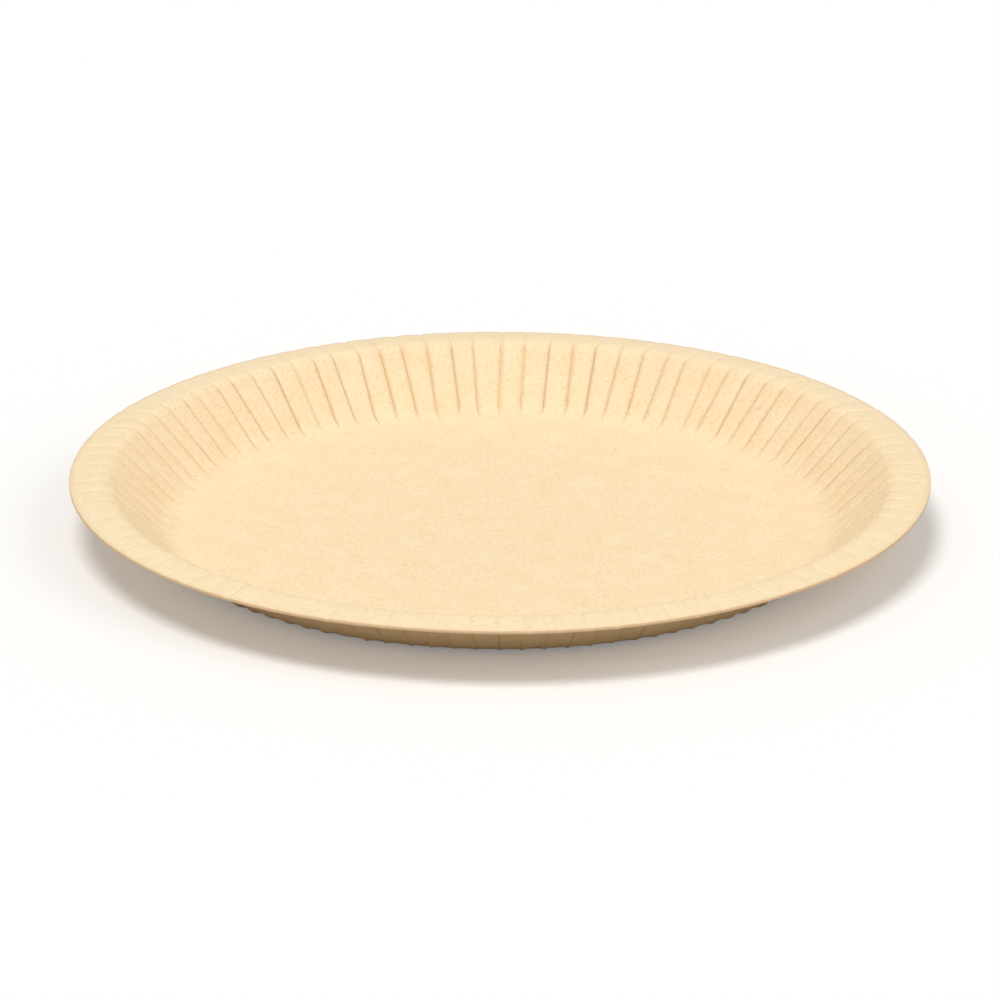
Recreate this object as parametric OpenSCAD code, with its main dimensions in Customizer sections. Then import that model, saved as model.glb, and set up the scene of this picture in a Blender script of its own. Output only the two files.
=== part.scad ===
// Round paper plate, pressed in one piece from pale kraft paperboard.
// Its floor lies on z = 0 and is centred on the Z axis, and the dish opens upwards.

/* [Plate] */
// Diameter across the cut edge of the rim
plate_d = 200; // [160:1:260]
// Height from the underside of the floor to the crown of the rim
plate_h = 15; // [10:0.5:24]
// Thickness of the paperboard
board_t = 0.8; // [0.4:0.05:1.2]

/* [Pressed profile] */
// Slope of the wall, up from the floor
wall_angle = 45; // [30:1:60]
// Radius of the corner between floor and wall, on the upper face
corner_r = 8; // [3:0.5:12]
// Radius of the shoulder between wall and flange, on the underside
shoulder_r = 4; // [1.5:0.5:6]
// Width of the flange, from the crown of the shoulder to the cut edge
flange_w = 7; // [3:0.5:12]
// Height that the flange falls from the crown to the cut edge
flange_fall = 0.6; // [0:0.1:2]

/* [Pleats] */
// Number of pleats pressed round the rim
pleat_count = 96; // [48:4:108]
// Width of the crease at each pleat
crease_w = 1.2; // [0.6:0.1:2]
// Depth to which a crease is pressed down, on the wall
crease_depth = 0.45; // [0.1:0.05:0.8]
// Depth of a crease at the cut edge, where the rim is ironed flat
edge_crease_depth = 0.15; // [0:0.05:0.4]

/* [Hidden] */

$fn = 192;
// Steps along the corner's arc and along the shoulder's arc
arc_steps = 3;
// How far the pleated rim reaches in over the edge of the flat floor
floor_lap = 2;
board_colour = "#FCE3B9";

// The rise and the run that the two arcs leave over are the straight wall's
plate_r = plate_d / 2;
crown_r = plate_r - flange_w;
arcs_r = corner_r + board_t + shoulder_r;
wall_rise = plate_h - board_t - arcs_r * (1 - cos(wall_angle));
wall_run = wall_rise / tan(wall_angle);
floor_r = crown_r - arcs_r * sin(wall_angle) - wall_run;

// Centres of the two arcs, in the plane of the section
corner_c = [floor_r, board_t + corner_r];
shoulder_c = [crown_r, plate_h - board_t - shoulder_r];

// A station is a place along the section: its point on the underside, the direction
// through the board to the upper face, and the depth of the creases there
function through_board(slope) = [-sin(slope), cos(slope)];

function corner_station(share) =
    let (up = through_board(share * wall_angle))
    [corner_c - (corner_r + board_t) * up, up, share * crease_depth];

function shoulder_station(share) =
    let (up = through_board((1 - share) * wall_angle))
    [shoulder_c + shoulder_r * up, up, crease_depth + share * (edge_crease_depth - crease_depth) / 2];

lap_station = [[floor_r - floor_lap, 0], through_board(0), 0];
edge_station = [[plate_r, plate_h - board_t - flange_fall], through_board(0), edge_crease_depth];

stations = [
    lap_station,
    for (i = [0 : arc_steps]) corner_station(i / arc_steps),
    for (i = [0 : arc_steps]) shoulder_station(i / arc_steps),
    edge_station
];

// A ring of points round the plate at one station, at one height in the board's thickness.
// Each pleat has three points: the two sides of its crease, and its bottom between them.
function ring(station, height) = [
    for (i = [0 : pleat_count - 1])
        for (side = [-1, 0, 1])
            let (
                depth = side == 0 ? station[2] : 0,
                place = station[0] + (height - depth) * station[1],
                half_crease = crease_w / 2 / station[0][0] * 180 / PI,
                turn = i * 360 / pleat_count + side * half_crease
            )
            [place[0] * cos(turn), place[0] * sin(turn), place[1]]
];

// The rings run out along the upper face, round the cut edge and back along the underside,
// and the last one joins the first, inside the floor
last_station = len(stations) - 1;
rings = [
    for (i = [0 : last_station]) ring(stations[i], board_t),
    for (i = [last_station : -1 : 0]) ring(stations[i], 0)
];
ring_points = 3 * pleat_count;

// The two triangles between four neighbouring points of two neighbouring rings
function quad_faces(ring_no, point_no) =
    let (
        next_ring = (ring_no + 1) % len(rings),
        next_point = (point_no + 1) % ring_points,
        a = ring_no * ring_points + point_no,
        b = ring_no * ring_points + next_point,
        c = next_ring * ring_points + point_no,
        d = next_ring * ring_points + next_point
    )
    [[a, b, c], [b, d, c]];

// Corner, wall, shoulder and flange, with their pleats
module pleated_rim() {
    polyhedron(
        points = [for (one_ring = rings) each one_ring],
        faces = [
            for (i = [0 : len(rings) - 1])
                for (j = [0 : ring_points - 1])
                    each quad_faces(i, j)
        ],
        convexity = 6
    );
}

// A true disc, so that the plate has one flat face to stand on
module flat_floor() {
    cylinder(r = floor_r - floor_lap / 2, h = board_t);
}

module plate() {
    color(board_colour) {
        pleated_rim();
        flat_floor();
    }
}

plate();
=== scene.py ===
import math

import bpy
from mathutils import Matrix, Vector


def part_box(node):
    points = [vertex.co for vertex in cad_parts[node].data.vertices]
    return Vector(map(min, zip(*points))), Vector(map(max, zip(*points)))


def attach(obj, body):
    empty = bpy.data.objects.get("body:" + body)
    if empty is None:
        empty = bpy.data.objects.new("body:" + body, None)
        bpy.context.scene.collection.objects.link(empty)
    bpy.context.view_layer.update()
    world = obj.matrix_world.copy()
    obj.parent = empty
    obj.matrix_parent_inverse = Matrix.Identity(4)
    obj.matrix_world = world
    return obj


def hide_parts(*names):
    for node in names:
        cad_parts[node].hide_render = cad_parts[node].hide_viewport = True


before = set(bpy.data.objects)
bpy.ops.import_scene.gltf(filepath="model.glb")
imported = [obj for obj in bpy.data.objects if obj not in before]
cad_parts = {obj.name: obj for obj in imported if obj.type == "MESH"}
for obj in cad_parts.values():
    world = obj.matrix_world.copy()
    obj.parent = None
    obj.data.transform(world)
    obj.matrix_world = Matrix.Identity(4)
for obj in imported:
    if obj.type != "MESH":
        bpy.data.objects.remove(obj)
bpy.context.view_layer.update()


# Paper plate. One round blank of pale kraft board, scored with short radial lines round its rim
# and pressed hot between two dies into a flat floor, a wall and a narrow flange. The board that
# is left over round the rim folds at the score lines, and the dies iron those pleats flat.

MM = 0.001
_, plate_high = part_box("plate")
plate_r = plate_high.x
plate_h = plate_high.z
board_t = 0.8 * MM
corner_r = 8 * MM            # between floor and wall, on the upper face
shoulder_r = 4 * MM          # between wall and flange, on the underside
flange_w = 7 * MM
flange_fall = 0.6 * MM
wall_angle = math.radians(45)
cut_edge_r = 0.12 * MM       # the die rounds the cut edge a little

# The two arcs leave a straight stretch of wall between them, as in the pressing die.
crown_r = plate_r - flange_w
under_corner_r = corner_r + board_t
arcs_r = under_corner_r + shoulder_r
wall_rise = plate_h - board_t - arcs_r * (1 - math.cos(wall_angle))
wall_run = wall_rise / math.tan(wall_angle)
floor_r = crown_r - arcs_r * math.sin(wall_angle) - wall_run

# The dies iron the flange, so a crease is shallower there: its depth at the crown and at the cut
# edge, as shares of that on the wall
edge_share = 0.33
crown_share = (1 + edge_share) / 2

# How finely each stretch of the section is divided, the floor closest at its corner
floor_shares = (0, 0.12, 0.28, 0.44, 0.6, 0.74, 0.86, 0.95, 1)
arc_steps = 7
wall_steps = 6
flange_steps = 5


def smooth(share):
    """Eases a share from 0 to 1."""
    return share * share * (3 - 2 * share)


def even_shares(count):
    """Even shares from just above 0 up to 1."""
    return [(i + 1) / count for i in range(count)]


# A station is a place along the board: its point on the underside, the slope there, and how
# deep the pleats are, as a share of their depth on the wall.
stations = [(share * floor_r, 0, 0, 0) for share in floor_shares]
for share in even_shares(arc_steps):
    slope = share * wall_angle
    stations.append((
        floor_r + under_corner_r * math.sin(slope), under_corner_r * (1 - math.cos(slope)),
        slope, smooth(share)
    ))
corner_end_x, corner_end_z, *_ = stations[-1]
for share in even_shares(wall_steps):
    stations.append((
        corner_end_x + share * wall_run, corner_end_z + share * wall_rise, wall_angle, 1
    ))
for share in even_shares(arc_steps):
    slope = (1 - share) * wall_angle
    drop = board_t + shoulder_r * (1 - math.cos(slope))
    stations.append((
        crown_r - shoulder_r * math.sin(slope), plate_h - drop, slope,
        1 + share * (crown_share - 1)
    ))
for share in even_shares(flange_steps):
    drop = board_t + smooth(share) * flange_fall
    stations.append((
        crown_r + share * flange_w, plate_h - drop, 0,
        crown_share + share * (edge_share - crown_share)
    ))

# How far each station lay from the middle of the flat blank, before pressing
blank_places = [0]
for here, there in zip(stations, stations[1:]):
    blank_places.append(blank_places[-1] + math.dist(here[:2], there[:2]))
blank_r = blank_places[-1]


def through_board(slope):
    """The direction from the underside to the upper face, where the board has this slope."""
    return (-math.sin(slope), 0, math.cos(slope))


# The outline runs out along the upper face, round the cut edge and back along the underside.
# Each row is a point, the direction through the board, the pleats' share, the place on the
# blank, 1 on the upper face or 0 on the underside, and 1 on the cut edge, less at its corners.
outline = []
up_to_edge = list(zip(stations[:-1], blank_places))
for (x, z, slope, share), blank_place in up_to_edge:
    up = through_board(slope)
    outline.append((
        (x + board_t * up[0], 0, z + board_t * up[2]), up, share, blank_place, 1, 0
    ))
edge_x, edge_z, edge_slope, share = stations[-1]
for inset, height, upper_face, cut_edge in (
    (cut_edge_r, board_t, 1, 0.3),
    (0, board_t - cut_edge_r, 0.9, 1),
    (0, board_t / 2, 0.5, 1),
    (0, cut_edge_r, 0.1, 1),
    (cut_edge_r, 0, 0, 0.3),
):
    outline.append((
        (edge_x - inset, 0, edge_z + height), through_board(edge_slope), share, blank_r,
        upper_face, cut_edge
    ))
for (x, z, slope, share), blank_place in reversed(up_to_edge):
    outline.append(((x, 0, z), through_board(slope), share, blank_place, 0, 0))

points, ups, *measures = zip(*outline)
measure_names = ("pleat_share", "blank_place", "upper_face", "cut_edge")
outline_mesh = bpy.data.meshes.new("plate_outline")
outline_mesh.from_pydata(points, [], [])
up_column = outline_mesh.attributes.new("up", "FLOAT_VECTOR", "POINT")
up_column.data.foreach_set("vector", [part for up in ups for part in up])
for name, values in zip(measure_names, measures):
    column = outline_mesh.attributes.new(name, "FLOAT", "POINT")
    column.data.foreach_set("value", values)


def add(tree, kind, feeds=None, out=None, **settings):
    """Adds one node with its settings, feeds its sockets, and returns one of its outputs."""
    node = tree.nodes.new(kind)
    for name, value in settings.items():
        setattr(node, name, value)
    for key, value in (feeds or {}).items():
        if isinstance(key, str):
            socket = next(s for s in node.inputs if s.enabled and s.name == key)
        else:
            socket = node.inputs[key]
        if isinstance(value, bpy.types.NodeSocket):
            tree.links.new(value, socket)
        else:
            socket.default_value = value
    shown = [s for s in node.outputs if s.enabled and out in (None, s.name)]
    return shown[0] if shown else None


# The rule of the plate's shape: the outline is carried round the axis, and at each score line
# the board dips into a crease, with a sharp fold at its bottom and a crowned panel on each side.
press = bpy.data.node_groups.new("pressed_plate", "GeometryNodeTree")
press.interface.new_socket("Plate", in_out="OUTPUT", socket_type="NodeSocketGeometry")
press_values = {
    "Outline": ("NodeSocketGeometry", None),
    "Rows": ("NodeSocketInt", len(outline)),
    "Board thickness": ("NodeSocketFloat", board_t),
    "Floor radius": ("NodeSocketFloat", floor_r),
    "Plate radius": ("NodeSocketFloat", plate_r),
    "Pleats": ("NodeSocketInt", 96),
    "Columns in a pleat": ("NodeSocketInt", 12),
    "Column draw": ("NodeSocketFloat", 1.6),
    "Crease width": ("NodeSocketFloat", 1.5 * MM),
    "Crease depth": ("NodeSocketFloat", 0.34 * MM),
    "Lean pivot": ("NodeSocketFloat", floor_r + 12 * MM),
    "Fold width": ("NodeSocketFloat", 0.36 * MM),
    "Fold depth": ("NodeSocketFloat", 0.16 * MM),
    "Lap width": ("NodeSocketFloat", 2 * MM),
    "Lap height": ("NodeSocketFloat", 0.16 * MM),
    "Panel crown": ("NodeSocketFloat", 0.14 * MM),
    "Rim warp": ("NodeSocketFloat", 0.7 * MM),
    "Warps in a radius": ("NodeSocketFloat", 1.1),
    "Floor cockle": ("NodeSocketFloat", 0.12 * MM),
    "Cockle length": ("NodeSocketFloat", 40 * MM),
    "Cockled radius": ("NodeSocketFloat", 0.6 * floor_r),
    "Edge nick": ("NodeSocketFloat", 0.16 * MM),
    "Edge fray": ("NodeSocketFloat", 0.1 * MM),
    "Fray length": ("NodeSocketFloat", 1.1 * MM),
    "Merge distance": ("NodeSocketFloat", 0.004 * MM),
    "Seed": ("NodeSocketInt", 7),
    "Board": ("NodeSocketMaterial", None),
}
press_ids = {}
for name, (kind, _) in press_values.items():
    socket = press.interface.new_socket(name, in_out="INPUT", socket_type=kind)
    press_ids[name] = socket.identifier
given = press.nodes.new("NodeGroupInput").outputs

# A flat grid, one column for each place round the rim and one row for each outline point
column_count = add(press, "ShaderNodeMath", {
    0: given["Pleats"], 1: given["Columns in a pleat"], 2: 1}, operation="MULTIPLY_ADD")
grid = add(press, "GeometryNodeMeshGrid", {
    "Size X": 1, "Size Y": 1, "Vertices X": column_count, "Vertices Y": given["Rows"]}, out="Mesh")
grid_place = add(press, "GeometryNodeInputPosition")
grid_x, grid_y, _ = add(press, "ShaderNodeSeparateXYZ", {0: grid_place}).node.outputs
round_share = add(press, "ShaderNodeMath", {0: grid_x, 1: 0.5}, operation="ADD")
row_share = add(press, "ShaderNodeMath", {0: grid_y, 1: 0.5}, operation="ADD")
last_row = add(press, "ShaderNodeMath", {0: given["Rows"], 1: 1}, operation="SUBTRACT")
row_place = add(press, "ShaderNodeMath", {0: row_share, 1: last_row}, operation="MULTIPLY")
row_no = add(press, "FunctionNodeFloatToInt", {0: row_place}, rounding_mode="ROUND")

# What the outline says at that row
sampled = {}
for name in ("position", "up", *measure_names):
    kind = "FLOAT" if name in measure_names else "FLOAT_VECTOR"
    named = add(press, "GeometryNodeInputNamedAttribute", {"Name": name}, data_type=kind)
    sampled[name] = add(press, "GeometryNodeSampleIndex", {
        "Geometry": given["Outline"], "Value": named, "Index": row_no}, data_type=kind)
radius, _, height = add(press, "ShaderNodeSeparateXYZ", {0: sampled["position"]}).node.outputs

# The nearest crease, and how far across its half of the pleat a column stands. A draw above 1
# brings the columns together at the crease, where the board bends most.
pleat_place = add(press, "ShaderNodeMath", {
    0: round_share, 1: given["Pleats"]}, operation="MULTIPLY")
crease_no = add(press, "ShaderNodeMath", {0: pleat_place}, operation="ROUND")
beside = add(press, "ShaderNodeMath", {0: pleat_place, 1: crease_no}, operation="SUBTRACT")
side = add(press, "ShaderNodeMath", {0: beside}, operation="SIGN")
half_share = add(press, "ShaderNodeMath", {0: beside}, operation="ABSOLUTE")
half_share = add(press, "ShaderNodeMath", {0: half_share, 1: 2}, operation="MULTIPLY")
across = add(press, "ShaderNodeMath", {
    0: half_share, 1: given["Column draw"]}, operation="POWER")
near_crease = add(press, "ShaderNodeMath", {0: 1, 1: across}, operation="SUBTRACT")

# Each crease and each panel has its own depth, place and crown, as paper never folds twice
# alike. A shift is in pleats, a lean in pleats a metre, a reach is a power of the pleats' share,
# and the others are factors.
crease_id = add(press, "ShaderNodeMath", {
    0: crease_no, 1: given["Pleats"]}, operation="FLOORED_MODULO")
panel_id = add(press, "ShaderNodeMath", {0: pleat_place}, operation="FLOOR")
panel_id = add(press, "ShaderNodeMath", {
    0: panel_id, 1: given["Pleats"]}, operation="FLOORED_MODULO")
own = {}
for step, (name, number, least, most) in enumerate((
    ("depth", crease_id, 0.55, 1.3),
    ("shift", crease_id, -0.1, 0.1),
    ("lean", crease_id, -9, 9),
    ("fold", crease_id, 0.2, 1.2),
    ("reach", crease_id, 0.7, 3),
    ("lap", crease_id, -1, 1),
    ("crown", panel_id, 0.4, 1.6),
)):
    seed = add(press, "ShaderNodeMath", {0: given["Seed"], 1: step}, operation="ADD")
    own[name] = add(press, "FunctionNodeRandomValue", {
        "Min": least, "Max": most, "ID": number, "Seed": seed}, data_type="FLOAT")

# The turn round the axis: the crease's own place, its small shift, and a lean up the wall
up_the_wall = add(press, "ShaderNodeMath", {
    0: sampled["blank_place"], 1: given["Lean pivot"]}, operation="SUBTRACT")
shifted = add(press, "ShaderNodeMath", {
    0: own["lean"], 1: up_the_wall, 2: own["shift"]}, operation="MULTIPLY_ADD")
shifted = add(press, "ShaderNodeMath", {0: shifted, 1: near_crease}, operation="MULTIPLY")
shifted = add(press, "ShaderNodeMath", {
    0: shifted, 1: sampled["pleat_share"]}, operation="MULTIPLY")
half_across = add(press, "ShaderNodeMath", {0: across, 1: 0.5}, operation="MULTIPLY")
turned = add(press, "ShaderNodeMath", {
    0: side, 1: half_across, 2: shifted}, operation="MULTIPLY_ADD")
turned = add(press, "ShaderNodeMath", {0: turned, 1: crease_no}, operation="ADD")
pleat_turn = add(press, "ShaderNodeMath", {
    0: 2 * math.pi, 1: given["Pleats"]}, operation="DIVIDE")
turn = add(press, "ShaderNodeMath", {0: turned, 1: pleat_turn}, operation="MULTIPLY")
outwards = add(press, "ShaderNodeCombineXYZ", {
    0: add(press, "ShaderNodeMath", {0: turn}, operation="COSINE"),
    1: add(press, "ShaderNodeMath", {0: turn}, operation="SINE")})

# Depth of the dip, from the real distance to the crease in metres
pleat_w = add(press, "ShaderNodeMath", {0: radius, 1: pleat_turn}, operation="MULTIPLY")
from_crease = add(press, "ShaderNodeMath", {0: half_across, 1: pleat_w}, operation="MULTIPLY")
half_crease_w = add(press, "ShaderNodeMath", {
    0: given["Crease width"], 1: 0.5}, operation="MULTIPLY")
half_fold_w = add(press, "ShaderNodeMath", {
    0: given["Fold width"], 1: 0.5}, operation="MULTIPLY")
in_crease = add(press, "ShaderNodeMapRange", {
    "Value": from_crease, "From Min": half_crease_w, "From Max": 0},
    interpolation_type="SMOOTHSTEP")
in_fold = add(press, "ShaderNodeMapRange", {
    "Value": from_crease, "From Min": half_fold_w, "From Max": 0}, interpolation_type="LINEAR")
crease_dip = add(press, "ShaderNodeMath", {
    0: given["Crease depth"], 1: own["depth"]}, operation="MULTIPLY")
fold_dip = add(press, "ShaderNodeMath", {
    0: given["Fold depth"], 1: own["fold"]}, operation="MULTIPLY")
panel_dip = add(press, "ShaderNodeMath", {
    0: given["Panel crown"], 1: own["crown"]}, operation="MULTIPLY")
off_crown = add(press, "ShaderNodeMath", {0: near_crease, 1: 2}, operation="POWER")
crease_share = add(press, "ShaderNodeMath", {
    0: sampled["pleat_share"], 1: own["reach"]}, operation="POWER")
dip = add(press, "ShaderNodeMath", {0: crease_dip, 1: in_crease}, operation="MULTIPLY")
dip = add(press, "ShaderNodeMath", {0: fold_dip, 1: in_fold, 2: dip}, operation="MULTIPLY_ADD")

# The spare board is folded to one side, so the panel on the other side lies lower by the lap
half_lap_w = add(press, "ShaderNodeMath", {0: given["Lap width"], 1: 0.5}, operation="MULTIPLY")
in_lap = add(press, "ShaderNodeMapRange", {
    "Value": from_crease, "From Min": half_lap_w, "From Max": 0},
    interpolation_type="SMOOTHSTEP")
lower_side = add(press, "ShaderNodeMath", {0: own["lap"], 1: side}, operation="MULTIPLY")
lower_side = add(press, "ShaderNodeMath", {0: lower_side, 1: 0}, operation="MAXIMUM")
lap_dip = add(press, "ShaderNodeMath", {0: given["Lap height"], 1: in_lap}, operation="MULTIPLY")
dip = add(press, "ShaderNodeMath", {0: lap_dip, 1: lower_side, 2: dip}, operation="MULTIPLY_ADD")
dip = add(press, "ShaderNodeMath", {0: dip, 1: crease_share}, operation="MULTIPLY")
panel_dip = add(press, "ShaderNodeMath", {
    0: panel_dip, 1: sampled["pleat_share"]}, operation="MULTIPLY")
dip = add(press, "ShaderNodeMath", {0: panel_dip, 1: off_crown, 2: dip}, operation="MULTIPLY_ADD")
downwards = add(press, "ShaderNodeMath", {0: dip, 1: -1}, operation="MULTIPLY")
sunk = add(press, "ShaderNodeVectorMath", {0: sampled["up"], 3: downwards}, operation="SCALE")
sunk_out, _, sunk_up = add(press, "ShaderNodeSeparateXYZ", {0: sunk}).node.outputs

# Each point's own place on the flat blank, in metres, with the board's thickness as its height
in_board = add(press, "ShaderNodeMath", {
    0: sampled["upper_face"], 1: given["Board thickness"]}, operation="MULTIPLY")
blank_spot = add(press, "ShaderNodeVectorMath", {
    0: outwards, 3: sampled["blank_place"]}, operation="SCALE")
blank_spot = add(press, "ShaderNodeVectorMath", {
    0: blank_spot, 1: add(press, "ShaderNodeCombineXYZ", {2: in_board})}, operation="ADD")

# The cut edge: a shallow nick where each crease runs out, and a little fray of the fibres
fray_scale = add(press, "ShaderNodeMath", {0: 1, 1: given["Fray length"]}, operation="DIVIDE")
fray = add(press, "ShaderNodeTexNoise", {
    "Vector": blank_spot, "W": given["Seed"], "Scale": fray_scale, "Detail": 3},
    noise_dimensions="4D")
fray = add(press, "ShaderNodeMath", {0: fray, 1: given["Edge fray"]}, operation="MULTIPLY")
nick = add(press, "ShaderNodeMath", {
    0: given["Edge nick"], 1: own["fold"]}, operation="MULTIPLY")
nick = add(press, "ShaderNodeMath", {0: nick, 1: in_crease, 2: fray}, operation="MULTIPLY_ADD")
at_edge = add(press, "ShaderNodeMath", {0: sampled["cut_edge"], 1: 0}, operation="GREATER_THAN")
nick = add(press, "ShaderNodeMath", {0: nick, 1: at_edge}, operation="MULTIPLY")
rim_out = add(press, "ShaderNodeMath", {0: radius, 1: sunk_out}, operation="ADD")
rim_out = add(press, "ShaderNodeMath", {0: rim_out, 1: nick}, operation="SUBTRACT")

# The rim of a light board never dries quite level, and the floor cockles a little
rim_reach = add(press, "ShaderNodeMapRange", {
    "Value": radius, "From Min": given["Floor radius"], "From Max": given["Plate radius"]},
    interpolation_type="SMOOTHSTEP")
slow_wave = add(press, "ShaderNodeTexNoise", {
    "Vector": outwards, "Scale": given["Warps in a radius"], "Detail": 1})
warp = add(press, "ShaderNodeMath", {0: slow_wave, 1: given["Rim warp"]}, operation="MULTIPLY")
warp = add(press, "ShaderNodeMath", {0: warp, 1: rim_reach}, operation="MULTIPLY")
floor_mask = add(press, "ShaderNodeMapRange", {
    "Value": radius, "From Min": given["Floor radius"], "From Max": given["Cockled radius"]},
    interpolation_type="SMOOTHSTEP")
floor_place = add(press, "ShaderNodeVectorMath", {0: outwards, 3: radius}, operation="SCALE")
cockle_scale = add(press, "ShaderNodeMath", {
    0: 1, 1: given["Cockle length"]}, operation="DIVIDE")
cockle = add(press, "ShaderNodeTexNoise", {
    "Vector": floor_place, "Scale": cockle_scale, "Detail": 1})
cockle = add(press, "ShaderNodeMath", {
    0: cockle, 1: given["Floor cockle"]}, operation="MULTIPLY")
cockle = add(press, "ShaderNodeMath", {0: cockle, 1: floor_mask}, operation="MULTIPLY")
rim_up = add(press, "ShaderNodeMath", {0: height, 1: sunk_up}, operation="ADD")
rim_up = add(press, "ShaderNodeMath", {0: rim_up, 1: warp}, operation="SUBTRACT")
rim_up = add(press, "ShaderNodeMath", {0: rim_up, 1: cockle}, operation="ADD")

# The lower die is flat, so no crease stands out below the floor's underside
rim_up = add(press, "ShaderNodeMath", {0: rim_up, 1: 0}, operation="MAXIMUM")

place = add(press, "ShaderNodeVectorMath", {0: outwards, 3: rim_out}, operation="SCALE")
place = add(press, "ShaderNodeVectorMath", {
    0: place, 1: add(press, "ShaderNodeCombineXYZ", {2: rim_up})}, operation="ADD")

# What the board's finish reads: its place on the flat blank, the creases and folds (where it
# paints shade), the face and the edge
creased = add(press, "ShaderNodeMath", {0: in_crease, 1: crease_share}, operation="MULTIPLY")
folded = add(press, "ShaderNodeMath", {0: in_fold, 1: crease_share}, operation="MULTIPLY")
folded = add(press, "ShaderNodeMath", {0: folded, 1: own["fold"]}, operation="MULTIPLY")
solid = grid
for name, kind, value in (
    ("blank", "FLOAT_VECTOR", blank_spot), ("creased", "FLOAT", creased),
    ("folded", "FLOAT", folded), ("upper_face", "FLOAT", sampled["upper_face"]),
    ("cut_edge", "FLOAT", sampled["cut_edge"]), ("pleat_share", "FLOAT", sampled["pleat_share"]),
):
    solid = add(press, "GeometryNodeStoreNamedAttribute", {
        "Geometry": solid, "Name": name, "Value": value}, data_type=kind, domain="POINT")
solid = add(press, "GeometryNodeSetPosition", {"Geometry": solid, "Position": place})

# The seam and both poles close here, and the faces, which the grid lays inwards, turn outwards
solid = add(press, "GeometryNodeMergeByDistance", {
    "Geometry": solid, "Distance": given["Merge distance"]})
solid = add(press, "GeometryNodeFlipFaces", {"Mesh": solid})
solid = add(press, "GeometryNodeSetShadeSmooth", {"Geometry": solid})
solid = add(press, "GeometryNodeRealizeInstances", {"Geometry": solid})
solid = add(press, "GeometryNodeSetMaterial", {
    "Geometry": solid, "Material": given["Board"]})
add(press, "NodeGroupOutput", {0: solid})


def linear(hex_colour):
    """An sRGB hex colour as linear red, green, blue and alpha."""
    shares = [int(hex_colour[i:i + 2], 16) / 255 for i in (1, 3, 5)]
    return [s / 12.92 if s <= 0.04045 else ((s + 0.055) / 1.055) ** 2.4 for s in shares] + [1]


# Pale kraft board, hot pressed: warm cream with a cloudy formation, fine fibres that lie all
# ways and a few bark specks. It is matt, with a faint sheen where the dies iron the flange,
# which is also painted paler as a highlight. The creases are painted darker, partly crushed
# board and partly painted shade, with a painted shadow line in each fold. The cut edge shows
# the browner inside of the board, and the underside is tan.
board = bpy.data.materials.new("hot_pressed_kraft_board")
board.use_nodes = True
finish = board.node_tree
finish.nodes.clear()
told = {
    name: add(finish, "ShaderNodeAttribute", out="Fac", attribute_name=name)
    for name in ("creased", "folded", "upper_face", "cut_edge", "pleat_share")
}
blank = add(finish, "ShaderNodeAttribute", out="Vector", attribute_name="blank")

# Cloudy formation of the pulp in soft flocs, under a fine mottle
floc_w = 8 * MM
mottle_w = 0.7 * MM
floc_weight = 0.6            # of the flocs against the mottle's 1
flocs = add(finish, "ShaderNodeTexNoise", {
    "Vector": blank, "Scale": 1 / floc_w, "Detail": 2, "Roughness": 0.45})
mottle = add(finish, "ShaderNodeTexNoise", {
    "Vector": blank, "Scale": 1 / mottle_w, "Detail": 2, "Roughness": 0.6})
tone = add(finish, "ShaderNodeMath", {
    0: flocs, 1: floc_weight, 2: mottle}, operation="MULTIPLY_ADD")
tone = add(finish, "ShaderNodeMapRange", {"Value": tone, "From Min": 0.5, "From Max": 1.1})
colour = add(finish, "ShaderNodeMix", {
    "Factor": tone, "A": linear("#FEE9C3"), "B": linear("#F9DCAF")}, data_type="RGBA")

# Fibre bundles, slightly bent and lying all ways. Real ones are 0.05 mm wide, and these are
# drawn three times as wide, to show.
fibre_size = (1.8 * MM, 0.16 * MM, 0.4 * MM)
fibre_angles = (-62, -27, 4, 33, 58, 90)
bend_length = 3 * MM
bend_depth = 1.5 * MM
bend = add(finish, "ShaderNodeTexNoise", {"Vector": blank, "Scale": 1 / bend_length}, out="Color")
bend = add(finish, "ShaderNodeVectorMath", {0: bend, 3: bend_depth}, operation="SCALE")
bent_blank = add(finish, "ShaderNodeVectorMath", {0: blank, 1: bend}, operation="ADD")
fibres = 0
for angle in fibre_angles:
    laid = add(finish, "ShaderNodeMapping", {
        "Vector": bent_blank, "Rotation": (0, 0, math.radians(angle)),
        "Scale": fibre_size}, vector_type="TEXTURE")
    strands = add(finish, "ShaderNodeTexNoise", {"Vector": laid, "Scale": 1, "Detail": 0})
    strands = add(finish, "ShaderNodeMapRange", {
        "Value": strands, "From Min": 0.7, "From Max": 0.8})
    fibres = add(finish, "ShaderNodeMath", {0: fibres, 1: strands}, operation="MAXIMUM")

# Bark specks of any size up to a full one, at most one to a cell
speck_cell = 6 * MM
speck_r = 0.36 * MM
speck_share = 0.75           # of the cells that hold one
speck_reach = speck_r / speck_cell
from_speck = add(finish, "ShaderNodeTexVoronoi", {
    "Vector": bent_blank, "Scale": 1 / speck_cell}, out="Distance")
speck_own = add(finish, "ShaderNodeSeparateColor", {0: from_speck.node.outputs["Color"]})
specks = add(finish, "ShaderNodeMath", {
    0: speck_own, 1: speck_reach / speck_share, 2: from_speck}, operation="MULTIPLY_ADD")
specks = add(finish, "ShaderNodeMapRange", {
    "Value": specks, "From Min": speck_reach, "From Max": speck_reach / 2})

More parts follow.
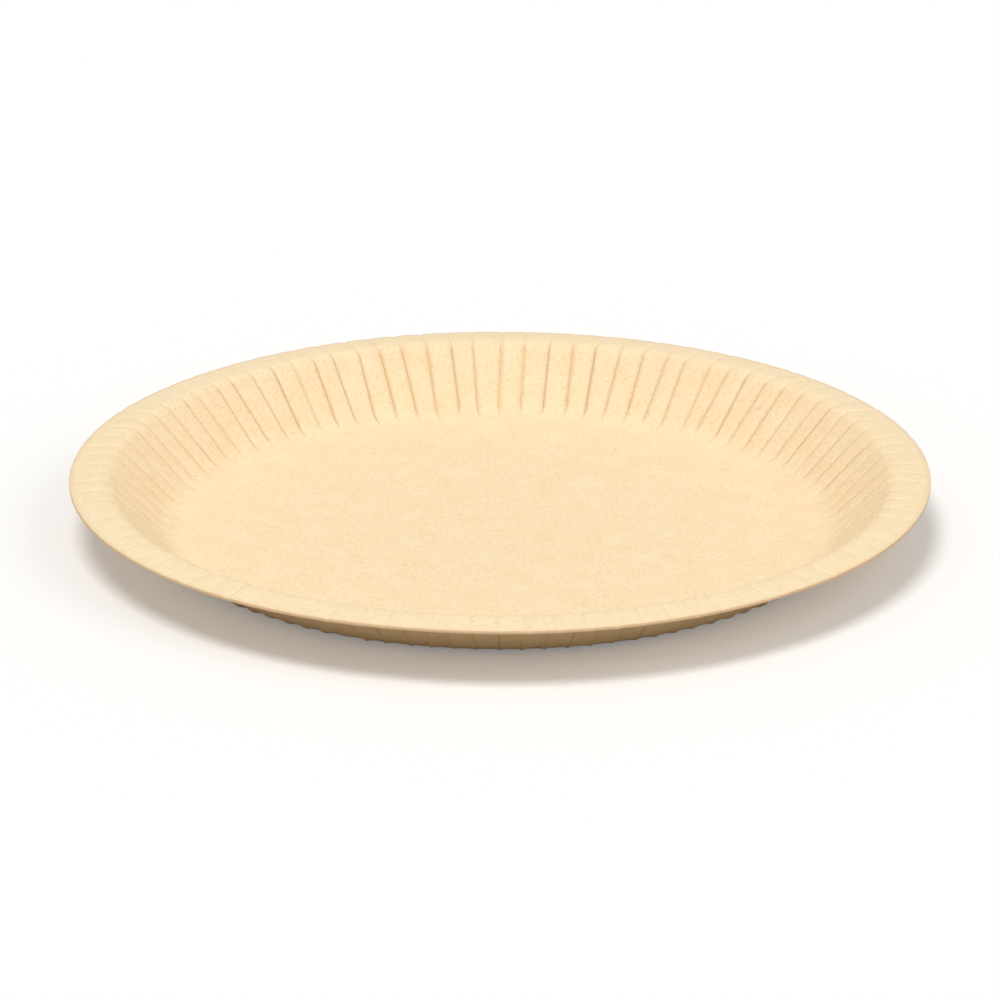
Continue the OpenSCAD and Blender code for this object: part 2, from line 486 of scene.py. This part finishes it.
# The flange takes the dies' full pressure, which irons it smoother. It is painted a little
# paler, partly pressed fibre and partly a painted sheen highlight.
ironed_w = 6 * MM            # in from the cut edge
ironed_fade = 5 * MM
flat_blank = add(finish, "ShaderNodeVectorMath", {0: blank, 1: (1, 1, 0)}, operation="MULTIPLY")
blank_reach = add(finish, "ShaderNodeVectorMath", {0: flat_blank}, operation="LENGTH")
ironed_and_sheen = add(finish, "ShaderNodeMapRange", {
    "Value": blank_reach, "From Min": blank_r - ironed_w - ironed_fade,
    "From Max": blank_r - ironed_w}, interpolation_type="SMOOTHSTEP")

# The underside is the same board, and a little browner
under = add(finish, "ShaderNodeMapRange", {
    "Value": told["upper_face"], "From Min": 0.6, "From Max": 0.4})

# Creases painted darker, partly crushed board and partly painted shade, and a painted shadow
# line at the bottom of each fold. On the flange most of both fade, as the dies iron it.
ironed_away = 0.7
crease_left = add(finish, "ShaderNodeMath", {
    0: ironed_and_sheen, 1: -ironed_away, 2: 1}, operation="MULTIPLY_ADD")
crease_crush_and_shade = add(finish, "ShaderNodeMath", {
    0: told["creased"], 1: crease_left}, operation="MULTIPLY")
fold_shadow = add(finish, "ShaderNodeMath", {0: told["folded"], 1: crease_left}, operation="MULTIPLY")

# Each of these covers what lies under it by a share, with its own colour
for mask, cover, hex_colour in (
    (fibres, 0.38, "#D3A566"),
    (specks, 0.7, "#9A6A32"),
    # paler ironed flange: partly pressed fibre, partly a painted sheen highlight
    (ironed_and_sheen, 0.16, "#FFF4CE"),
    (under, 0.55, "#D9B682"),
    # crease darkening: partly crushed board, partly painted shade
    (crease_crush_and_shade, 0.3, "#D8B27A"),
    # painted shadow line at the bottom of each fold
    (fold_shadow, 0.5, "#A67C48"),
):
    tint = add(finish, "ShaderNodeMath", {0: mask, 1: cover}, operation="MULTIPLY")
    colour = add(finish, "ShaderNodeMix", {
        "Factor": tint, "A": colour, "B": linear(hex_colour)}, data_type="RGBA")

# The cut edge shows the plies of the board, tan and finely streaked along the rim
streak_l = 1.2 * MM
streak_t = 0.18 * MM
plies = add(finish, "ShaderNodeMapping", {
    "Vector": blank, "Scale": (1 / streak_l, 1 / streak_l, 1 / streak_t)})
plies = add(finish, "ShaderNodeTexNoise", {"Vector": plies, "Scale": 1, "Detail": 2})
edge_colour = add(finish, "ShaderNodeMix", {
    "Factor": plies, "A": linear("#F3D4A9"), "B": linear("#DDB486")}, data_type="RGBA")
colour = add(finish, "ShaderNodeMix", {
    "Factor": told["cut_edge"], "A": colour, "B": edge_colour}, data_type="RGBA")

# Relief: the fine tooth of the board, its fibres, and round the rim the many short wrinkles
# that run up the wall, where the board was gathered
wrinkle_w = 0.6 * MM
wrinkle_l = 7 * MM
wrinkle_h = 0.12 * MM
along_ray = add(finish, "ShaderNodeMath", {0: blank_reach, 1: 1 / wrinkle_l}, operation="MULTIPLY")
ray = add(finish, "ShaderNodeVectorMath", {0: flat_blank}, operation="NORMALIZE")
ray = add(finish, "ShaderNodeVectorMath", {0: ray, 3: plate_r / wrinkle_w}, operation="SCALE")
ray = add(finish, "ShaderNodeVectorMath", {
    0: ray, 1: add(finish, "ShaderNodeCombineXYZ", {2: along_ray})}, operation="ADD")
wrinkles = add(finish, "ShaderNodeTexNoise", {"Vector": ray, "Scale": 1, "Detail": 1})
wrinkles = add(finish, "ShaderNodeMath", {
    0: wrinkles, 1: told["pleat_share"]}, operation="MULTIPLY")
relief = add(finish, "ShaderNodeBump", {
    "Height": wrinkles, "Strength": 0.5, "Distance": wrinkle_h})
tooth_w = 0.3 * MM
tooth_h = 0.04 * MM
fibre_h = 0.5                # of a fibre, against the tooth's 1
tooth = add(finish, "ShaderNodeTexNoise", {
    "Vector": blank, "Scale": 1 / tooth_w, "Detail": 2, "Roughness": 0.6})
tooth = add(finish, "ShaderNodeMath", {
    0: fibres, 1: fibre_h, 2: tooth}, operation="MULTIPLY_ADD")
relief = add(finish, "ShaderNodeBump", {
    "Height": tooth, "Strength": 0.3, "Distance": tooth_h, "Normal": relief})

# The upper face is smoother than the underside, and the ironed flange most of all
roughness = add(finish, "ShaderNodeMapRange", {
    "Value": flocs, "From Min": 0.3, "From Max": 0.7, "To Min": 0.6, "To Max": 0.7})
for mask, change in ((ironed_and_sheen, -0.14), (under, 0.15), (told["cut_edge"], 0.2)):
    roughness = add(finish, "ShaderNodeMath", {
        0: mask, 1: change, 2: roughness}, operation="MULTIPLY_ADD", use_clamp=True)
shader = add(finish, "ShaderNodeBsdfPrincipled", {
    "Base Color": colour, "Roughness": roughness, "IOR": 1.48, "Normal": relief})
add(finish, "ShaderNodeOutputMaterial", {"Surface": shader})

# The tree runs on the outline, and its result becomes the plate's own plain mesh
pressing = bpy.data.objects.new("plate_pressing", outline_mesh)
bpy.context.scene.collection.objects.link(pressing)
press_run = pressing.modifiers.new("press", "NODES")
press_run.node_group = press
for name, (_, value) in press_values.items():
    if value is not None:
        press_run[press_ids[name]] = value
press_run[press_ids["Board"]] = board
pressed = pressing.evaluated_get(bpy.context.evaluated_depsgraph_get())
plate_mesh = bpy.data.meshes.new_from_object(pressed)
plate_mesh.name = "paper_plate"
bpy.data.objects.remove(pressing)
paper_plate = bpy.data.objects.new("paper_plate", plate_mesh)
bpy.context.scene.collection.objects.link(paper_plate)
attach(paper_plate, "root")
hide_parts("plate")


# Studio floor: one wide white sheet under the plate. Its own light, seen by the camera alone,
# brings it to white, and the plate's soft shadow stays on it.
sheet_half = 6
sheet_own_light = 0.2
floor_mesh = bpy.data.meshes.new("studio_floor")
floor_mesh.from_pydata(
    [(x * sheet_half, y * sheet_half, 0) for x, y in ((-1, -1), (1, -1), (1, 1), (-1, 1))],
    [], [(0, 1, 2, 3)]
)
studio_floor = bpy.data.objects.new("studio_floor", floor_mesh)
bpy.context.scene.collection.objects.link(studio_floor)
white_sheet = bpy.data.materials.new("matt_white_sheet")
white_sheet.use_nodes = True
sheet_tree = white_sheet.node_tree
sheet_tree.nodes.clear()
sheet_matt = add(sheet_tree, "ShaderNodeBsdfDiffuse", {"Color": linear("#E4E3E1")})
sheet_seen = add(sheet_tree, "ShaderNodeLightPath", out="Is Camera Ray")
sheet_glow = add(sheet_tree, "ShaderNodeMath", {
    0: sheet_seen, 1: sheet_own_light}, operation="MULTIPLY")
sheet_glow = add(sheet_tree, "ShaderNodeEmission", {
    "Color": linear("#FFFFFF"), "Strength": sheet_glow})
sheet_shader = add(sheet_tree, "ShaderNodeAddShader", {0: sheet_matt, 1: sheet_glow})
add(sheet_tree, "ShaderNodeOutputMaterial", {"Surface": sheet_shader})
floor_mesh.materials.append(white_sheet)


# Soft studio light: a broad key from the front left, a weaker fill from the right, and an even
# pale room all round. Together they show a colour about as it is written.
for name, turn_deg, height_deg, strength, spread_deg in (
    ("key", -34, 72, 1.72, 24),
    ("fill", 60, 40, 0.5, 40),
):
    lamp = bpy.data.lights.new(name, "SUN")
    lamp.energy = strength
    lamp.angle = math.radians(spread_deg)
    lamp_object = bpy.data.objects.new(name, lamp)
    lamp_object.rotation_euler = (math.radians(90 - height_deg), 0, math.radians(turn_deg))
    bpy.context.scene.collection.objects.link(lamp_object)
room_strength = 0.42         # on the plate, while the camera sees the room at 1, which is white
room = bpy.data.worlds.new("pale_room")
bpy.context.scene.world = room
room.use_nodes = True
room_tree = room.node_tree
room_tree.nodes.clear()
room_seen = add(room_tree, "ShaderNodeLightPath", out="Is Camera Ray")
room_level = add(room_tree, "ShaderNodeMapRange", {
    "Value": room_seen, "To Min": room_strength, "To Max": 1})
room_light = add(room_tree, "ShaderNodeBackground", {
    "Color": linear("#FFFFFF"), "Strength": room_level})
add(room_tree, "ShaderNodeOutputWorld", {"Surface": room_light})

# Camera: a long lens that looks down at the plate at the photograph's angle
view_height = math.radians(20.5)
camera_reach = 1.8
frame_share = 0.86           # part of the picture's width that the plate takes
camera_data = bpy.data.cameras.new("camera")
camera_data.lens = camera_data.sensor_width * camera_reach * frame_share / (2 * plate_r)
camera = bpy.data.objects.new("camera", camera_data)
camera.location = (
    0, -camera_reach * math.cos(view_height),
    plate_h / 2 + camera_reach * math.sin(view_height)
)
camera.rotation_euler = (math.pi / 2 - view_height, 0, 0)
bpy.context.scene.collection.objects.link(camera)
bpy.context.scene.camera = camera
bpy.context.scene.view_settings.view_transform = "Standard"
